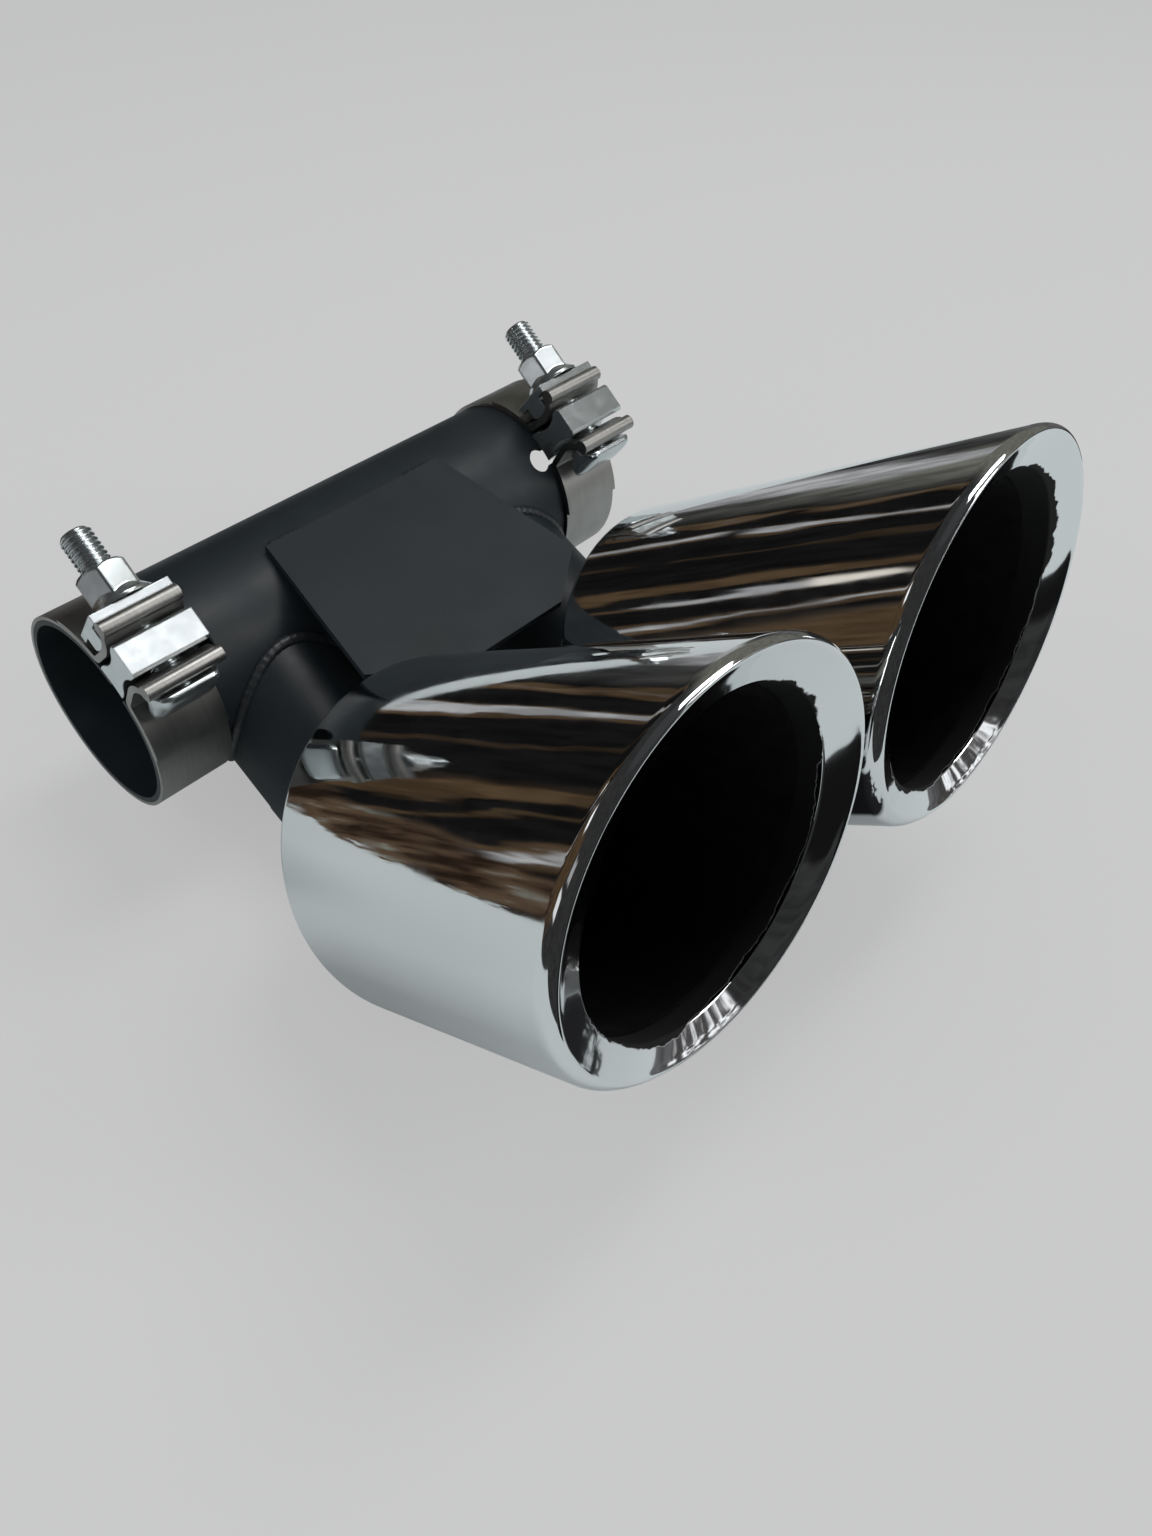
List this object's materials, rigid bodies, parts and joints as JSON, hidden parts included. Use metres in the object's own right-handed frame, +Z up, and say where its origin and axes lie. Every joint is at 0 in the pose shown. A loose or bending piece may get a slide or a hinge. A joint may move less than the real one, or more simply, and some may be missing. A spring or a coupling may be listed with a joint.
{
  "type": "twin exhaust tip",
  "caption": "Cross tube with a band clamp on each end, bent branch pipes, a gusset plate and slash cut chrome tips with rolled lips.",
  "frame": {"origin": "middle of the cross tube on its axis", "axes": "X along the cross tube, the tips point to -Y and up, +Z up as the part rests on its elbows and the rear rims of the tips"},
  "size_m": [0.22, 0.242, 0.1631],
  "materials": {
    "chrome_tip": "mirror polished",
    "black_sleeve": "matt black",
    "stainless_band": "brushed along the band",
    "zinc_hardware": "bright zinc plated",
    "weld": "black coated weld",
    "black_coating": "satin black coating"
  },
  "bodies": {
    "root": {"inlet_tube": "black_coating", "left_branch_pipe": "black_coating", "right_branch_pipe": "black_coating", "left_branch_weld": "weld", "right_branch_weld": "weld", "gusset_plate": "black_coating", "left_tip_shell": "chrome_tip", "right_tip_shell": "chrome_tip", "left_tip_sleeve": "black_sleeve", "right_tip_sleeve": "black_sleeve", "left_clamp_band": "stainless_band", "right_clamp_band": "stainless_band", "left_spacer_block": "zinc_hardware", "right_spacer_block": "zinc_hardware", "left_clamp_saddle": "zinc_hardware", "right_clamp_saddle": "zinc_hardware", "left_tee_bolt": "zinc_hardware", "right_tee_bolt": "zinc_hardware", "left_flange_nut": "zinc_hardware", "right_flange_nut": "zinc_hardware"}
  },
  "joints": []
}
